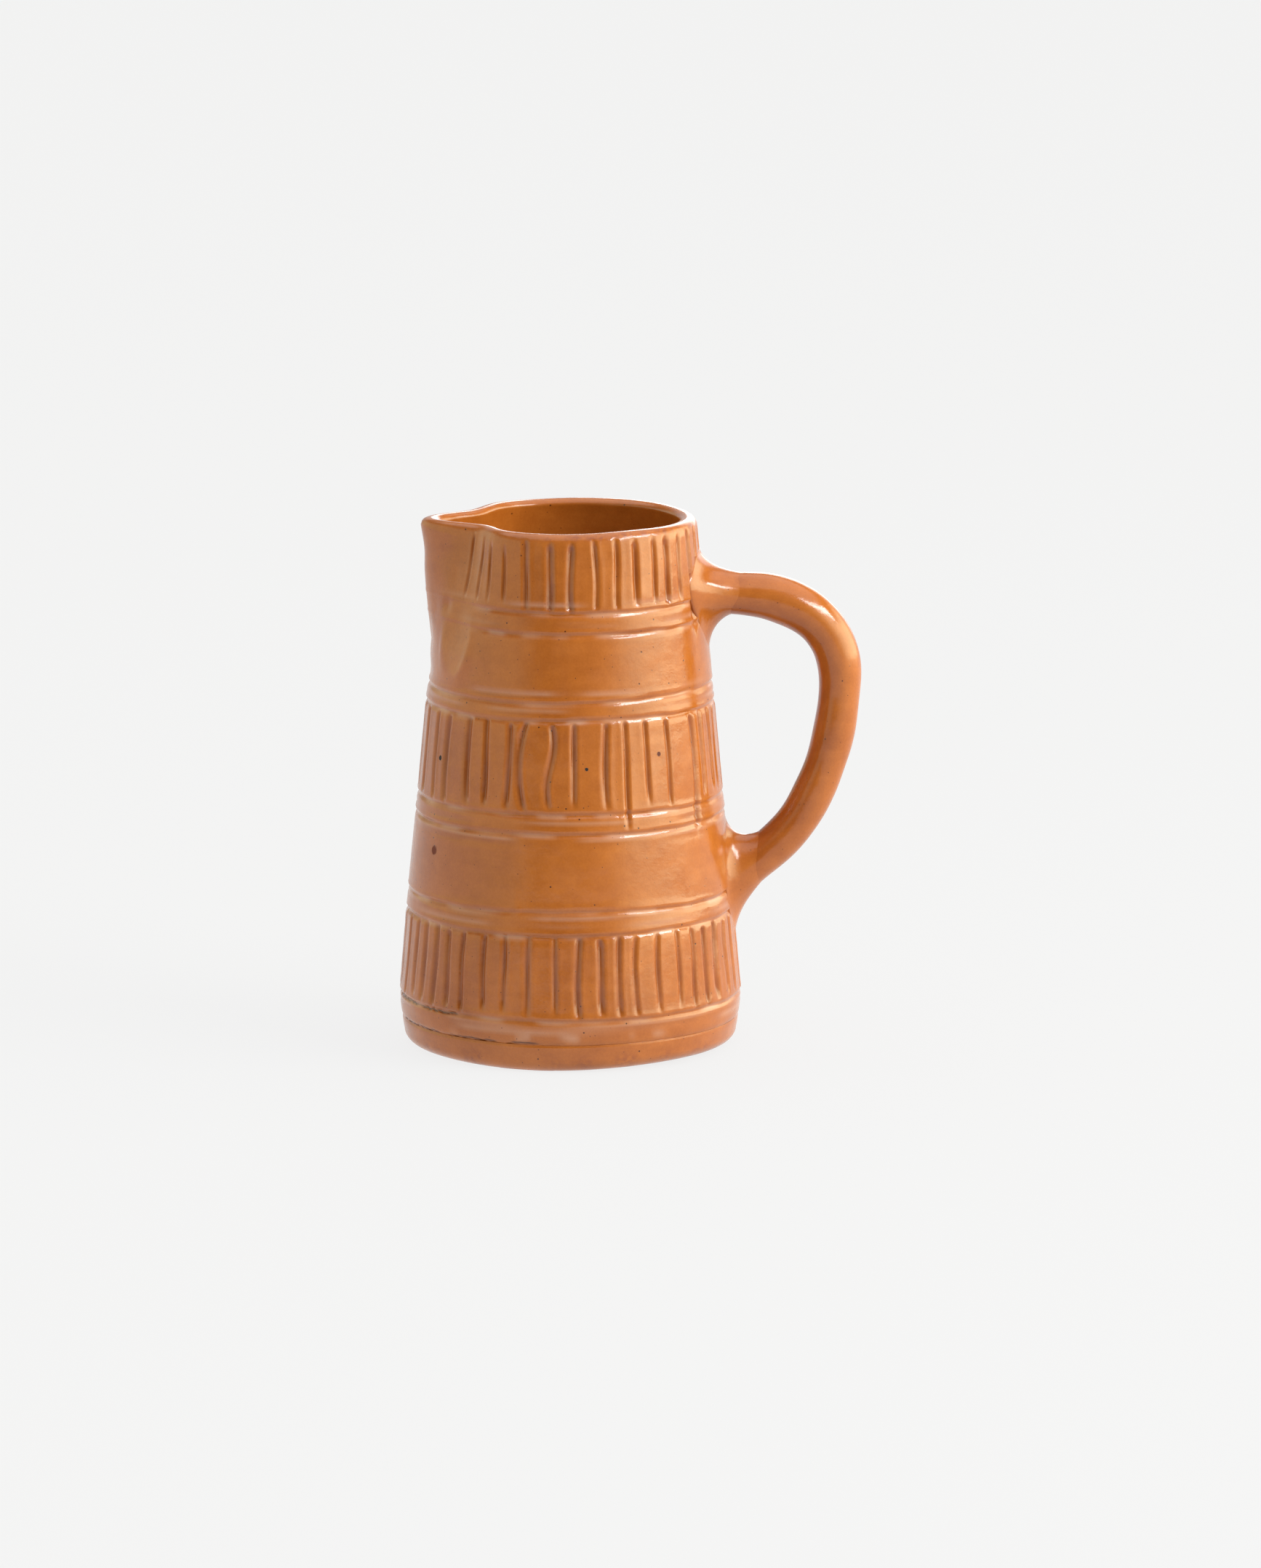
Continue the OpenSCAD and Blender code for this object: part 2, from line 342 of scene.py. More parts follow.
# Biscuit terracotta: red clay fired bare. The foot was wiped before the glaze firing, so that the jug
# wouldn't stick to the shelf, and underneath the eye sees dry, matt, slightly gritty clay.
bare_clay = bpy.data.materials.new("biscuit_terracotta")
bare_clay.use_nodes = True
tree = bare_clay.node_tree
shader = tree.nodes["Principled BSDF"]
shader.inputs["IOR"].default_value = 1.5
shader.inputs["Roughness"].default_value = 0.85
place = add_node(tree, "ShaderNodeTexCoord", {}).outputs["Object"]
tone = patches(tree, [(place, 14, 3.0, 1), (place, 0.7, 2.0, 0.5)])
tone = add_node(tree, "ShaderNodeMapRange", {"Value": tone, "From Min": 0.5, "From Max": 1.0})
clay = add_node(tree, "ShaderNodeMixRGB", {"Fac": tone.outputs["Result"], "Color1": linear("b8693f"),
                                           "Color2": linear("9c5230")}).outputs["Color"]
tree.links.new(clay, shader.inputs["Base Color"])
grit = add_node(tree, "ShaderNodeBump", {"Height": patches(tree, [(place, 0.7, 2.0, 1)]),
                                         "Distance": 0.12 * mm})
tree.links.new(grit.outputs["Normal"], shader.inputs["Normal"])

base_slab.data.materials.append(lead_glaze)
base_slab.data.materials.append(bare_clay)
for face in base_slab.data.polygons:
    if face.normal.z < -0.9 and face.center.z < 0.5 * mm:
        face.material_index = 1
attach(base_slab, "root")
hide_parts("base_slab")


# Wall
# The body of the jug, thrown on the slab in red clay and drawn in as it rises. The spout was pulled
# and pinched from the soft lip, lines were turned with a point, and the upright strokes cut by hand.
wall_thickness = 6.5
lip_height = 2.6
cove = 6
turned_lines = [20, 51.7, 60, 89, 96.3, 131, 137.8, 163, 171]
stroke_bands = {
    "neck": (171.4, 197.4, [-56.4, -46.5, -39, -30, -19.4, -8.6, 0.8, 11.1, 20.7, 30, 39.8, 47.4,
                            56.6, 66.1, 74.5]),
    "waist": (98.2, 130.3, [-75, -63.7, -55.2, -42.6, -34.3, -24.2, -17.3, -7.5, 1.7, 14.4, 22.3,
                          31.4, 41.3, 55.7, 62.7, 70.7, 76.6]),
    "belly": (21.4, 51, [-83.7, -74.5, -66.4, -60.3, -53.3, -46.6, -39.5, -30.5, -22.9, -14.5,
                           -5, 3.3, 10.8, 17.4, 23.5, 32.1, 40.3, 47.4, 53.9, 60.8, 68.5, 74.9,
                           84.2])
}
crooked_strokes = {
    # band and number: lean, bow and snake, in mm
    ("waist", 6): (0.3, -2.5, 0),
    ("waist", 7): (1.0, 0, -1.0)
}
strokes_run_on = {
    # band and number: height of the lower end
    ("waist", 10): 90.5,
    ("waist", 13): 87
}
faint_by_spout = 4
line_depth = 0.6
line_burr = 0.16
faint_lines = [17.2, 57.6, 86.4, 140.2, 165.8, 14.4, 54.4, 92.4, 134.2, 173]
faint_line_depth = 0.32
ring_step = 8.3
spout_bearing = -90
spout_clear = 68
spout_pull = 7.8
throat_height = 154
rim_dip = 0.7
pinches = [
    # degrees from the tip of the spout, half-width in degrees, and depth
    (36, 16, 6),
    (-33, 19, 3.6)
]
smear_at = (-57, 158.5)
smear_half = (10.5, 15)
smear_depth = 0.7
smear_ridge = 0.55


def all_round(name, bearings):
    """Carries the rhythm of the strokes on round the back, up to the spout in the neck band."""
    last = 360 + bearings[0] - (spout_clear if name == "neck" else 0)
    spacing = (bearings[-1] - bearings[0]) / (len(bearings) - 1)
    count = round((last - bearings[-1]) / spacing)
    chance = np.random.default_rng(len(bearings))
    middle = []
    for number in range(1, count + (name == "neck")):
        even = bearings[-1] + (last - bearings[-1]) * number / count
        middle.append(even + chance.uniform(-0.16, 0.16) * spacing)
    return bearings + middle


def crowded(low, high, count, centres, reach, gain):
    """Count values from low to high that crowd together round the centres."""
    fine = np.linspace(low, high, 20001)
    crowd = np.ones_like(fine)
    for centre in centres:
        crowd += gain * bump(fine - centre, reach)
    total = np.concatenate([[0], np.cumsum((crowd[1:] + crowd[:-1]) / 2)])
    return np.interp(np.linspace(0, total[-1], count), total, fine)


columns = 480
rows = 158
outer_rows = crowded(slab_top, pot_height - lip_height, rows, [slab_top] + turned_lines, 2.0, 4.5)
wall_profile = [(float(body_radius(level)), level) for level in outer_rows]
lip_middle = float(body_radius(pot_height)) - wall_thickness / 2
for turn in np.arange(15, 180, 15):
    flat = abs(math.cos(math.radians(turn))) ** 0.8 * math.copysign(1, math.cos(math.radians(turn)))
    rise = lip_height * math.sin(math.radians(turn))
    wall_profile.append((lip_middle + wall_thickness / 2 * flat, pot_height - lip_height + rise))
for level in np.linspace(pot_height - lip_height, slab_top + cove, 27):
    wall_profile.append((float(body_radius(level)) - wall_thickness, level))
cove_radius = float(body_radius(slab_top + cove)) - wall_thickness
for turn in (18, 36, 54, 72):
    inward = cove * (1 - math.cos(math.radians(turn)))
    wall_profile.append((cove_radius - inward, slab_top + cove * (1 - math.sin(math.radians(turn)))))
wall_profile.append((cove_radius - cove, slab_top - 0.3))
wall_profile.append((cove_radius + 2, slab_top - 0.3))
wall = spun("wall", wall_profile, columns)
points = read_points(wall)
column = np.round(bearing_of(points) / 360 * columns).astype(int) % columns
radius = np.hypot(points[:, 0], points[:, 1])
height = points[:, 2]

# The columns of the mesh lean over from band to band, so that they crowd in every stroke.
bearings_in = {}
for name, (low, high, strokes) in stroke_bands.items():
    everywhere = [b + turn for b in all_round(name, strokes) for turn in (-360, 0, 360)]
    bearings_in[name] = crowded(-90, 270, columns + 1, everywhere, 1.7, 2.5)[:columns]
start = round(columns / 4)
in_neck = ramp(height, 139, 161)
in_belly = 1 - ramp(height, 61, 88)
order = (column + start) % columns
bearing = in_neck * bearings_in["neck"][order] + in_belly * bearings_in["belly"][order]
bearing = bearing + (1 - in_neck - in_belly) * bearings_in["waist"][order]

# How deep in the wall a point lies: 0 on the outside and 1 on the inside.
through = np.clip((body_radius(np.minimum(height, pot_height)) - radius) / wall_thickness, 0, 1)
outside = 1 - ramp(through, 0.1, 0.45)

# The spout: pulled out at its tip, pinched in at both sides, and turned over a little at the lip.
from_tip = turn_from(bearing, spout_bearing)
throat = np.maximum(0, height - throat_height) / (pot_height - throat_height)
growth = (throat + np.sin(math.pi / 2 * np.minimum(throat, 1))) / 2
spout = spout_pull * bump(from_tip, 15)
for away, wide, deep in pinches:
    spout = spout - deep * bump(from_tip - away, wide)
flare = 0.7 * bump(height - 199, 5) - 0.45 * bump(height - 187.5, 5)
shape = growth * spout + flare * bump(from_tip, 22)
shape = shape - 0.12 * wall_thickness * growth * bump(from_tip, 14) * through

# Marks of the fingers, most of them round the throat below the spout, and small drips near the foot
# and the middle.
dents = [
    # bearing, height, half-width in degrees, half-height, and depth, less than 0 for a raised drip
    (-77, 168, 5, 6, 0.5),
    (-64, 181, 2.6, 4, 0.35),
    (-67, 169.5, 2.4, 3, 0.55),
    (-90, 142, 16, 5, 0.8),
    (-84, 158, 3, 14, 0.25),
    (-117, 150, 11, 12, 0.9),
    (-104, 166, 6, 8, 0.4),
    (66.5, 166.5, 2.2, 6, 1.1),
    (148, 118, 14, 12, 0.35),
    (205, 76, 16, 10, 0.3),
    (-19, 60.5, 1.5, 1.6, -0.4),
    (-19.5, 64.5, 0.8, 3.5, -0.16),
    (-11, 66, 0.7, 2.6, -0.14),
    (-52, 7, 2, 1.5, -0.25)
]
for at, level, wide, tall, deep in dents:
    shape = shape - deep * bump(turn_from(bearing, at), wide) * bump(height - level, tall)

# The long smear of a thumb in front of the throat, with the ridge of clay that it pushed up.
smear_right = turn_from(bearing, smear_at[0]) / smear_half[0]
smear_up = (height - smear_at[1]) / smear_half[1]
smear = np.hypot(smear_right, smear_up)
smear_side = np.degrees(np.arctan2(smear_up, smear_right))
shape = shape - smear_depth * (1 - ramp(smear, 0.1, 1.0))
shape = shape + smear_ridge * bump(smear - 1.02, 0.2) * bump(smear_side + 38, 50)
shape = shape + 0.45 * bump(smear - 1.0, 0.18) * bump(turn_from(smear_side, 205), 30)

# Slow hollows and swells that the hands left, which climb round the wall.
shape = shape + 0.22 * hand_waver(bearing + 0.6 * height, 5, 2, 6) * ramp(height, 25, 60)
shape = shape + 0.12 * hand_waver(bearing - 1.1 * height, 6, 3, 9)

# Throwing rings: the ridges that the fingers left as they rose, plainer on the inside.
turns = height / ring_step - bearing / 360 + 0.15 * hand_waver(bearing, 8, 1, 4)
rings = np.sin(2 * math.pi * turns)
shape = shape + rings * (0.012 * outside + 0.28 * ramp(through, 0.6, 1) * (1 - ramp(height, 180, 192)))

# The turned lines: how far each is carved, the brown of pooled glaze with painted shade in it, and the
# pale reflection painted below it.
pooled_glaze_and_shade = np.zeros_like(height)
carved = np.zeros_like(height)
painted_reflection = np.zeros_like(height)
for number, level in enumerate(turned_lines):
    middle = level + 0.55 * hand_waver(bearing, 20 + number, 1, 4) + 0.1 * hand_waver(bearing, 50, 9, 30)
    offset = height - middle
    cut = np.where(offset > 0, bump(offset, 0.75), bump(offset, 1.1))
    strength = line_depth + 0.22 * hand_waver(bearing, 40 + number, 1, 14)
    if level > 150:
        strength = strength * ramp(np.abs(from_tip), 36, 56) * (1 - bump(turn_from(bearing, 92), 30))
    burr = line_burr * bump(offset - 1.5, 0.7)
    carved += -strength * cut + burr
    # Brown of pooled glaze in the cut, laid mostly on its upper, downward-facing side as painted shade.
    pooled_glaze_and_shade += 0.2 * strength * np.where(offset > 0, cut, 0.1 * cut)
    # A pale mauve reflection painted in patches on the upward-facing slope below each line.
    reflection_patches = ramp(hand_waver(bearing, 140 + number, 4, 24), -0.4, 0.7)
    painted_reflection += 0.7 * strength * reflection_patches * bump(offset + 0.4, 0.9)

# A pale mauve reflection painted in broken bands above the foot, at the front.
foot_reflection = ramp(hand_waver(bearing, 150, 5, 40), 0.1, 0.9) * bump(turn_from(bearing, 5), 45)
painted_reflection += 0.45 * foot_reflection * bump(height - 13.5 - 1.2 * hand_waver(bearing, 151, 2, 20), 1.6)

# Fainter lines beside some of them, where the point skipped.
for number, level in enumerate(faint_lines):
    middle = level + 0.5 * hand_waver(bearing, 120 + number, 1, 4)
    held = ramp(hand_waver(bearing, 130 + number, 2, 9), -0.6, 0.4)
    held = held * (1 - bump(from_tip, 40) * (level > 150))
    carved += -faint_line_depth * held * bump(height - middle, 0.55)
    pooled_glaze_and_shade += 0.25 * held * bump(height - middle, 0.5)
    # A faint pale reflection painted just above each of them.
    painted_reflection += 0.3 * held * bump(height - middle - 0.9, 0.6)

# The upright strokes, each a V with a raised shoulder where the point pushed the clay aside.
chance = np.random.default_rng(11)
for name, (low, high, strokes) in stroke_bands.items():
    for number, at in enumerate(all_round(name, strokes)):
        lean, bow, snake = chance.normal(0, 0.45), chance.normal(0, 0.45), chance.normal(0, 0.12)
        half = chance.uniform(1.05, 1.5)
        deep = half * chance.uniform(0.72, 0.95) * (1 - 0.4 * ramp(abs(turn_from(at, 0)), 55, 80))
        top = high + chance.uniform(-0.7, 0.4)
        bottom = low + chance.uniform(-1.0, 1.8)
        if name == "neck" and number < faint_by_spout:
            top, bottom, deep, half = high - 1 - number, low + 3, 0.75, 0.85
        lean, bow, snake = crooked_strokes.get((name, number), (lean, bow, snake))
        bottom = strokes_run_on.get((name, number), bottom)
        along = (height - bottom) / (top - bottom)
        inside_band = (along > -0.25) & (along < 1.2)
        middle = lean * (along - 0.5) + bow * 4 * along * (1 - along)
        middle = middle + snake * np.sin(along * 2 * math.pi)
        across = turn_from(bearing, at) * math.pi / 180 * body_radius(height) - middle
        near = inside_band & (np.abs(across) < 6)
        ends = ramp(along, -0.03, 0.11) * (1 - ramp(along, 0.965, 1.02))
        press = deep * (0.85 + 0.15 * np.cos(7 * along + number)) * ends
        side = across / half
        cut = np.clip(1.14 - np.sqrt(side ** 2 + 0.02), 0, 1)
        shoulders = 0.2 * bump(side - 1.6, 0.45) + 0.1 * bump(side + 1.6, 0.5)
        shoulders = shoulders * np.minimum(1, ends * 2)
        carved += np.where(near, shoulders - press * cut, 0)
        pooled_glaze_and_shade += np.where(near, press * cut, 0)

# The line nearest the foot and the seam below it tore the clay at the left of the front.
torn = np.zeros_like(height)
for level, first, last, seed in ((19.6, -88, -42, 61), (slab_top + 0.5, -84, -8, 62)):
    jag = 0.45 * hand_waver(bearing, seed, 12, 60) + 0.25 * hand_waver(bearing, seed + 2, 60, 140)
    here = ramp(bearing, first - 4, first) * (1 - ramp(bearing, last, last + 8))
    broken = ramp(hand_waver(bearing, seed + 4, 8, 30), -0.7, -0.2)
    torn = np.maximum(torn, bump(height - level - jag, 0.3) * here * broken)
shape = shape + (carved - 0.5 * torn) * outside

# The rim dips at the tip of the spout and behind it, and isn't quite level anywhere.
lip_waver = 0.3 * hand_waver(bearing, 12, 1, 3) + 0.12 * hand_waver(bearing, 13, 4, 9)
dip = rim_dip * bump(from_tip, 20) + 0.8 * bump(from_tip + 28, 16) + lip_waver
seam = seam_cut(bearing, height) * outside
points = on_axis(bearing, radius + shape - seam, height - growth * dip)
points = uneven_foot(points, bearing, radius, height)
place_points(wall, points)
# For the glaze: the pooled brown with its painted shade, the tears, and the painted pale reflection.
mark(wall, "pooled_glaze_and_shade", np.clip(pooled_glaze_and_shade * outside, 0, 1))
mark(wall, "torn", torn * outside)
mark(wall, "painted_reflection", np.clip(painted_reflection * outside, 0, 0.5))

# The outer edge of the lip is worn thin all round, but for the part from the spout to the front.
worn_lip = bump(through - 0.1, 0.16) * ramp(height, 197, 198.6)
worn_lip = worn_lip * ramp(hand_waver(bearing, 91, 3, 40), -0.9, 0.5) * ramp(bearing, -30, 10)
mark(wall, "thin", 0.8 * worn_lip)
close_up(wall)

wall.data.materials.append(lead_glaze)
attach(wall, "root")
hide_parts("wall")


# Handle
# A pulled bar of clay, a little wider than it is thick, bent into a loop while soft. It leaves the
# neck level, turns down sharply, eases through the grip and comes back in to the belly.
bar_radius = 7.8
widen = 1.09
bar_start = 47.2
bar_height = 169.9
straight_to = 71.2
loop_bends = [
    # degrees turned, and radius
    (90, 30),
    (26, 107),
    (24.5, 60)
]
tail_length = 34
bar_in = 2.2
bar_steps = 190
bar_sides = 64
spin_radius = 40
bar_bends = [(straight_to - bar_start, 0)]
for turn, reach in loop_bends:
    bar_bends.append((math.radians(turn) * reach, turn))
bar_bends.append((tail_length, 0))


def bar_girth(along, angle):
    """Radius of the bar at a way along it and an angle round it, in mm, uneven as a hand leaves it."""
    girth = bar_radius + 0.5 * bump(along - 58, 20) - 0.15 * bump(along - 110, 30)
    girth = girth + 0.17 * hand_waver(angle + 1.1 * along, 31, 1, 3)
    girth = girth + 0.11 * hand_waver(2.6 * along, 32, 2, 7)
    # The clay that piled up inside the upper bend.
    girth = girth + 2.0 * bump(along - 32, 13) * bump(turn_from(angle, 180), 75)
    # Marks of the fingers that pulled the bar.
    chance = np.random.default_rng(33)
    for press in range(26):
        middle, side, length = chance.uniform(22, 158), chance.uniform(-180, 180), chance.uniform(3.5, 8)
        wide = np.degrees(length / bar_radius) * chance.uniform(0.6, 1.1)
        deep = chance.uniform(-0.14, 0.26)
        girth = girth - deep * bump(along - middle, length) * bump(turn_from(angle, side), wide)
    return girth


def bar_rise(along):
    """How much higher the bar sits where it leaves the neck, in mm."""
    return 1.5 * (1 - ramp(along, 14, 50))


def bar_drift(along):
    """How far the bar sits behind the middle plane of the jug, in mm: less than 0 is in front."""
    return -3.6 * (1 - ramp(along, 4, 80))


def off_the_wall(points, way):
    """How far each point must go along way to come out on the cone of the wall."""
    radius = belly_radius - (points[:, 2] - belly_height) * body_taper
    a = way[0] ** 2 - (body_taper * way[2]) ** 2
    b = points[:, 0] * way[0] + radius * body_taper * way[2]
    c = points[:, 0] ** 2 + points[:, 1] ** 2 - radius ** 2
    return (np.sqrt(np.maximum(b * b - a * c, 0)) - b) / a


# The line of the bar from end to end. Its bends ease into one another, as they do in soft clay.
bar_length = sum(length for length, turn in bar_bends)
ends = np.cumsum([0] + [length for length, turn in bar_bends])
headings = np.cumsum([0] + [turn for length, turn in bar_bends])
tail_heading = math.radians(headings[-1])
tail_way = (-math.cos(tail_heading), 0, math.sin(tail_heading))
fine = np.linspace(0, bar_length, 2001)
heading = np.interp(fine, ends, headings)
soft = np.exp(-(np.arange(-60, 61) / 28) ** 2)
heading = np.convolve(np.pad(heading, 60, mode="edge"), soft / soft.sum(), mode="valid")
step = bar_length / 2000
line_x = bar_start + np.concatenate([[0], np.cumsum(np.cos(np.radians(heading[1:])) * step)])
line_z = bar_height - np.concatenate([[0], np.cumsum(np.sin(np.radians(heading[1:])) * step)])

# A half ring, laid along that line.
sides = np.radians(np.arange(bar_sides) * 360 / bar_sides)
bar_profile = [(spin_radius + math.cos(side), math.sin(side)) for side in sides]
handle = spun("handle", bar_profile, bar_steps, 180)
points = read_points(handle)
from_centre = np.hypot(points[:, 0], points[:, 1])
share = np.abs(np.arctan2(points[:, 1], points[:, 0])) / math.pi
along = share * bar_length
outward, sideways = from_centre - spin_radius, points[:, 2]
turned = np.radians(np.interp(along, fine, heading))
angle = np.degrees(np.arctan2(sideways, outward))
girth = bar_girth(along, angle)
x = np.interp(along, fine, line_x) + outward * girth * np.sin(turned)
z = np.interp(along, fine, line_z) + outward * girth * np.cos(turned) + bar_rise(along)
y = sideways * girth * widen + bar_drift(along)
points = np.column_stack([x, y, z])

# Both ends stop a little inside the wall.
for way, part in (((1, 0, 0), along < 30), (tail_way, along > bar_length - 40)):
    pull = off_the_wall(points, way) - bar_in
    sunk = part & (pull > 0)
    points[sunk] += pull[sunk, None] * np.array(way)
place_points(handle, points)

# Painted shade darkens the inner side of the loop, which faces the body, with darker runs of glaze over
# it.
runs = ramp(hand_waver(angle + 4 * along, 34, 2, 9), -1.0, 0.8)
mark(handle, "pooled_glaze_and_shade", (0.25 + 0.5 * runs) * bump(turn_from(angle, 180), 80))
close_up(handle, 0.001)

handle.data.materials.append(lead_glaze)
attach(handle, "root")
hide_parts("handle")


# Clay at the upper joint
# A coil of soft clay pressed round the end of the bar and smeared out on the wall with a thumb, so
# that it fans up to the lip and down the neck. It hangs clear of the last stroke in a small crease.
def draped_clay(name, origin, way, origin_along, tail, spread, reach, blunt, seed):
    """A ring of clay round the bar, from a thin edge on the wall to a thin edge on the bar.

    origin is a point on the bar's axis, origin_along its place along the bar, way the direction from
    the wall out along the bar, and tail is true at the bar's far end. spread, reach and blunt are
    each a list of values in mm at eight places round the bar, counted from its upper side over the
    front: how far the clay spreads on the wall, how far it runs out along the bar, and how high it
    stands at its edge on the wall.
    """
    rows = []
    for turn in np.linspace(0, 90, 25):
        rows.append((1 - math.sin(math.radians(turn)), 1 - math.cos(math.radians(turn))))
    for step in np.linspace(0.04, 0.96, 10):
        rows.append((step, -0.02))
    ring = spun(name, [(100 + 50 * out, 100 * up) for out, up in rows], 224)
    at = read_points(ring)
    facing = np.arctan2(at[:, 1], at[:, 0])
    degrees = np.degrees(facing)
    out = (np.hypot(at[:, 0], at[:, 1]) - 100) / 50
    up = at[:, 2] / 100

    def smooth_round(values):
        """The eight values as a smooth curve round the bar."""
        waves = np.fft.rfft(values) / len(values)
        total = np.full_like(degrees, waves[0].real)
        for beat, wave in enumerate(waves[1:], 1):
            share = 1 if beat == len(values) // 2 else 2
            total = total + share * (wave * np.exp(1j * beat * facing)).real
        return total

    above = np.array([-way[2], 0, way[0]])
    front = np.array([0, -1, 0])
    round_bar = np.cos(facing)[:, None] * above + np.sin(facing)[:, None] * front
    origin = np.array(origin) + (0 if tail else bar_rise(0)) * above
    waver = 1 + 0.035 * hand_waver(degrees, seed, 3, 11)
    lift = smooth_round(reach) * up - 0.15 + smooth_round(blunt) * (1 - out ** 7)
    lumps = 0.25 * hand_waver(degrees + 9 * out, seed + 1, 3, 9)
    lift = lift + lumps * np.sin(math.pi * np.clip(up, 0, 1))
    lift = np.where(up < 0, -1.5, lift)
    sunk = 0.35 * ramp(up, 0.45, 1) + 0.6 * (up > 0.97)
    away = off_the_wall(origin + bar_radius * round_bar, way) + lift
    # The way out to each point depends on the bar's girth there, which depends on the way out.
    for closer in range(3):
        along_bar = origin_along + (-away if tail else away)
        girth = bar_girth(along_bar, 180 + degrees if tail else -degrees)
        girth = girth * np.sqrt(np.cos(facing) ** 2 + (widen * np.sin(facing)) ** 2)
        rho = girth - sunk + (smooth_round(spread) * waver - girth) * out
        at = origin + rho[:, None] * round_bar + np.outer(bar_drift(along_bar), (0, 1, 0))
        away = off_the_wall(at, way) + lift
    place_points(ring, at + np.outer(away, way))
    close_up(ring, 0.001)
    return ring


upper_clay = draped_clay("upper_joint_clay", (0, 0, bar_height), (1, 0, 0), -bar_start, False,
                         [16.5, 18, 18, 16.5, 24, 20, 19, 18],
                         [18, 17, 16, 13, 12, 13, 15, 16],
                         [0.1, 0.7, 1.7, 0.3, 0.0, 0.1, 0.3, 0.2], 71)
upper_clay.data.materials.append(lead_glaze)
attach(upper_clay, "root")
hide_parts("upper_joint_clay")


# Clay at the lower joint
# The tail of the bar, pressed on to the belly and wiped down the wall. A saddle of clay fills the
# corner above it, and the thumb drew the rest to a point below.
tail_at = (float(np.interp(ends[4], fine, line_x)), 0, float(np.interp(ends[4], fine, line_z)))
lower_clay = draped_clay("lower_joint_clay", tail_at, tail_way, float(ends[4]), True,
                         [22.5, 18, 14.5, 15, 17, 15, 14.5, 18],
                         [18, 18, 17, 17, 18, 17, 17, 18],
                         [0.0, 0.1, 0.2, 0.1, 0.0, 0.1, 0.2, 0.1], 81)
lower_clay.data.materials.append(lead_glaze)
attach(lower_clay, "root")
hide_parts("lower_joint_clay")


# Studio
# A plain pale floor in a light tent: white cloth behind, cream cloth at the left, a broad soft light
# at the right, a lamp high at the right of the camera, and darkness where the camera stands.
scene = bpy.context.scene
scene.view_settings.view_transform = "Standard"
paper = 0.913
floor_seen = 0.823
floor_unseen = 0.8

bpy.ops.object.select_all(action="DESELECT")
bpy.ops.mesh.primitive_circle_add(vertices=96, radius=9, fill_type="NGON", location=(0, 7.6, 0))
floor = bpy.context.object
floor.name = "floor"
bpy.ops.object.transform_apply(location=True)
floor_paint = bpy.data.materials.new("pale_floor")
floor_paint.use_nodes = True
tree = floor_paint.node_tree
shader = tree.nodes["Principled BSDF"]
shader.inputs["Base Color"].default_value = (0.06, 0.06, 0.06, 1)
shader.inputs["Roughness"].default_value = 1
shader.inputs["Specular IOR Level"].default_value = 0
shader.inputs["Emission Color"].default_value = (1, 1, 1, 1)
seen = add_node(tree, "ShaderNodeLightPath", {}).outputs["Is Camera Ray"]
glow = add_node(tree, "ShaderNodeMapRange", {"Value": seen, "To Min": floor_unseen, "To Max": floor_seen})
tree.links.new(glow.outputs["Result"], shader.inputs["Emission Strength"])
floor.data.materials.append(floor_paint)

tent = bpy.data.worlds.new("light_tent")
scene.world = tent
tent.use_nodes = True
tree = tent.node_tree
way = add_node(tree, "ShaderNodeTexCoord", {}).outputs["Generated"]
parts = add_node(tree, "ShaderNodeSeparateXYZ", {"Vector": way})
towards = add_node(tree, "ShaderNodeMath", {0: parts.outputs["Y"], 1: -1.0}, operation="MULTIPLY")
angle = add_node(tree, "ShaderNodeMath", {0: parts.outputs["X"], 1: towards.outputs[0]},
                 operation="ARCTAN2")
share = add_node(tree, "ShaderNodeMapRange",
                 {"Value": angle.outputs[0], "From Min": -math.pi, "From Max": math.pi})
cloths = add_node(tree, "ShaderNodeValToRGB", {"Fac": share.outputs["Result"]})
tent_walls = [
    # bearing from the camera, brightness, and 1 for cream cloth or 0 for white
    (-180, 0.6, 0), (-153, 0.6, 0), (-150, 0.5, 1), (-128, 1.15, 1), (-68, 1.0, 1), (-42, 0.8, 1),
    (-26, 0.1, 1), (0, 0.15, 1), (28, 0.4, 1), (40, 1.3, 1), (52, 2.8, 1), (74, 4.6, 1), (90, 5.0, 1),
    (108, 4.8, 1), (126, 3.6, 1), (140, 1.2, 1), (144, 0.6, 0), (180, 0.6, 0)
]
tent_heights = [
    # a dark gap above the walls and a bright top: where it begins, where it is full, and brightness
    (0.34, 0.53, 0.15),
    (0.64, 0.74, 1.35)
]
brightest = 5
cream_blue = 0.7
bar = cloths.color_ramp
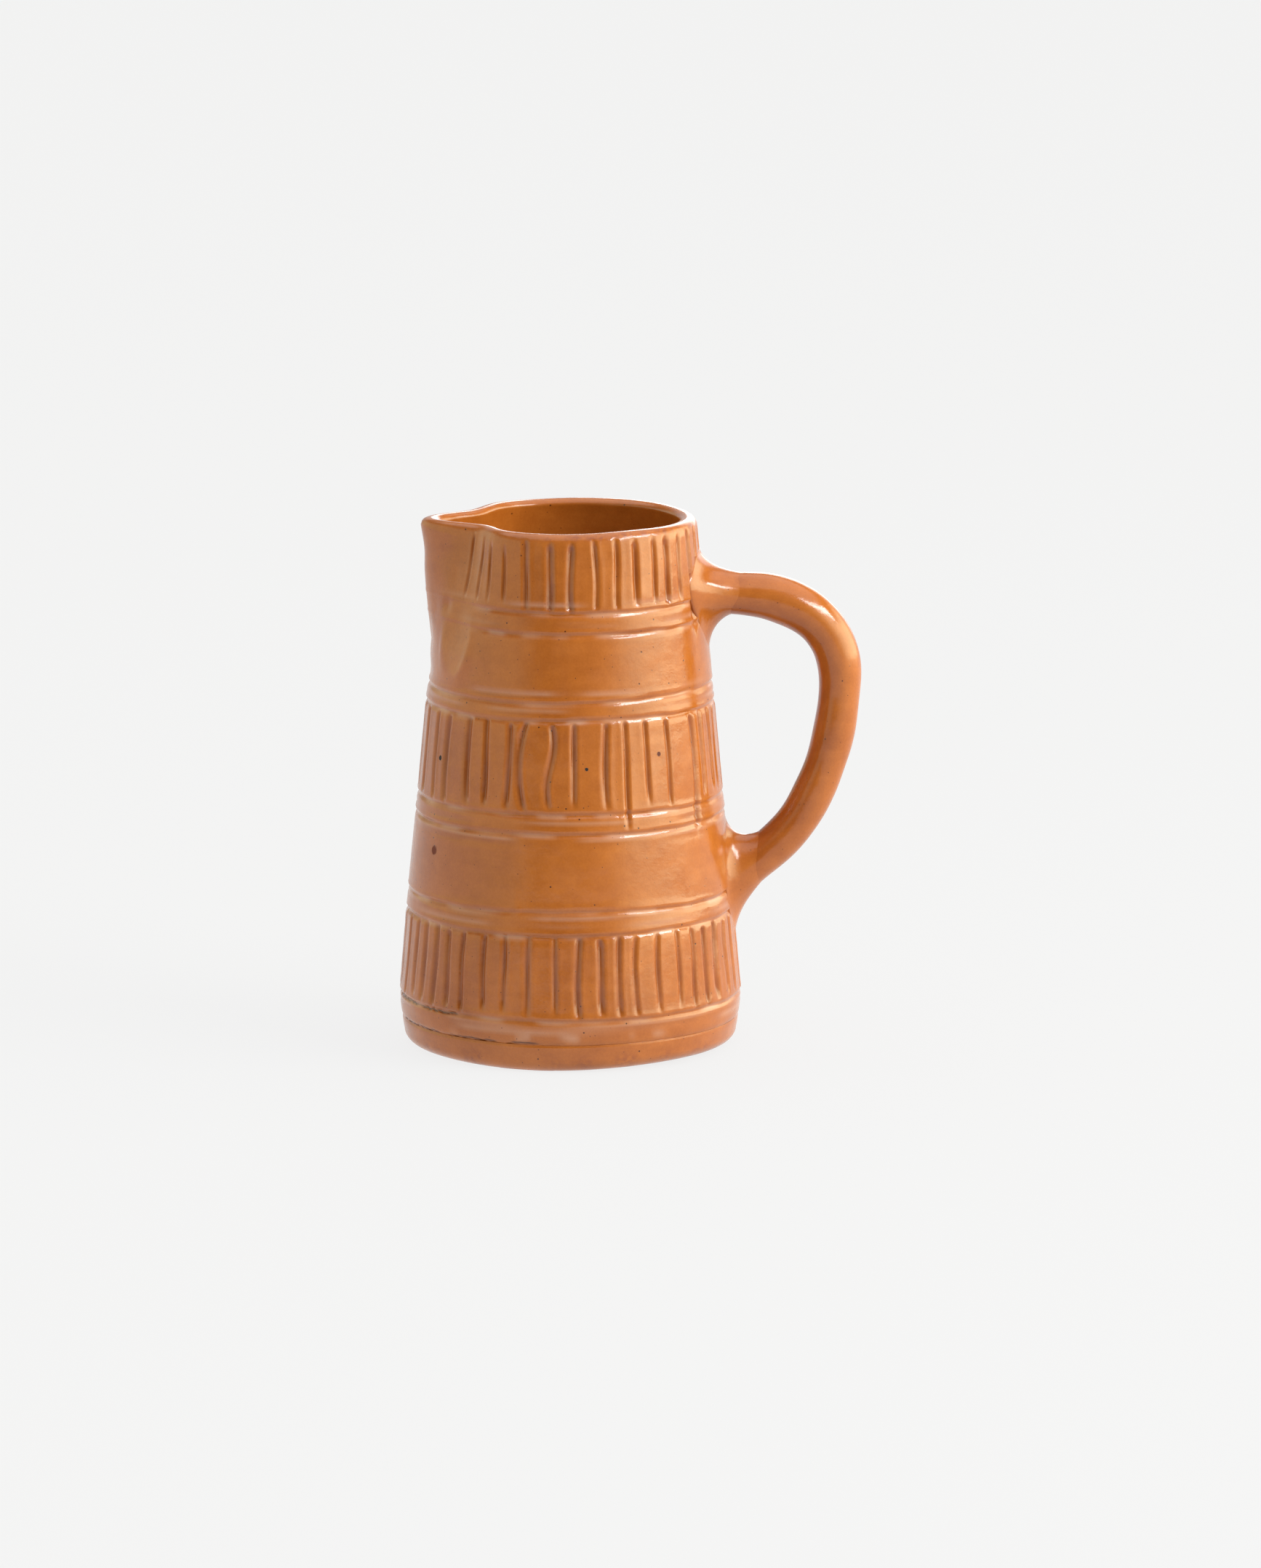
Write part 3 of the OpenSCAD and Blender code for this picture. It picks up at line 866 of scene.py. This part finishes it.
for number, (bearing, light, cream) in enumerate(tent_walls):
    spot = (bearing + 180) / 360
    stop = bar.elements[0] if number == 0 else bar.elements.new(spot)
    stop.position = spot
    blue = cream_blue if cream else 1
    stop.color = (light / brightest, light / brightest, blue * light / brightest, 1)
bar.elements.remove(bar.elements[len(bar.elements) - 1])
light_now = cloths.outputs["Color"]
for low, high, light in tent_heights:
    above = add_node(tree, "ShaderNodeMapRange",
                     {"Value": parts.outputs["Z"], "From Min": low, "From Max": high})
    shade = (light / brightest, light / brightest, light / brightest, 1)
    light_now = add_node(tree, "ShaderNodeMixRGB", {"Fac": above.outputs["Result"], "Color1": light_now,
                                                    "Color2": shade}).outputs["Color"]

# The camera itself sees one even pale sheet behind the jug.
seen = add_node(tree, "ShaderNodeLightPath", {})
sheet = (paper / brightest, paper / brightest, paper / brightest, 1)
light_now = add_node(tree, "ShaderNodeMixRGB", {"Fac": seen.outputs["Is Camera Ray"],
                                                "Color1": light_now, "Color2": sheet}).outputs["Color"]
tree.links.new(light_now, tree.nodes["Background"].inputs["Color"])
tree.nodes["Background"].inputs["Strength"].default_value = brightest

# The lamp: a long soft box.
lamp_size = (1.5, 0.35)
lamp_power = 30
lamp_distance = 2.2
lamp_bearing = math.radians(65)
lamp_rise = math.radians(36)
lamp_way = Vector((math.sin(lamp_bearing) * math.cos(lamp_rise),
                   -math.cos(lamp_bearing) * math.cos(lamp_rise), math.sin(lamp_rise)))
bpy.ops.object.light_add(type="AREA", location=lamp_way * lamp_distance)
lamp = bpy.context.object
lamp.rotation_euler = lamp_way.to_track_quat("Z", "Y").to_euler()
lamp.data.shape = "RECTANGLE"
lamp.data.size = lamp_size[0]
lamp.data.size_y = lamp_size[1]
lamp.data.energy = lamp_power

# Camera: well back from the jug and above it, looking down a little.
tilt = math.radians(10.4)
camera_distance = 3.6
aim = Vector((0.0227, 0, 0.0980))
bpy.ops.object.camera_add(location=aim + camera_distance * Vector((0, -math.cos(tilt), math.sin(tilt))),
                          rotation=(math.pi / 2 - tilt, 0, 0))
camera = bpy.context.object
camera.data.lens = 220
camera.data.clip_end = 100
scene.camera = camera
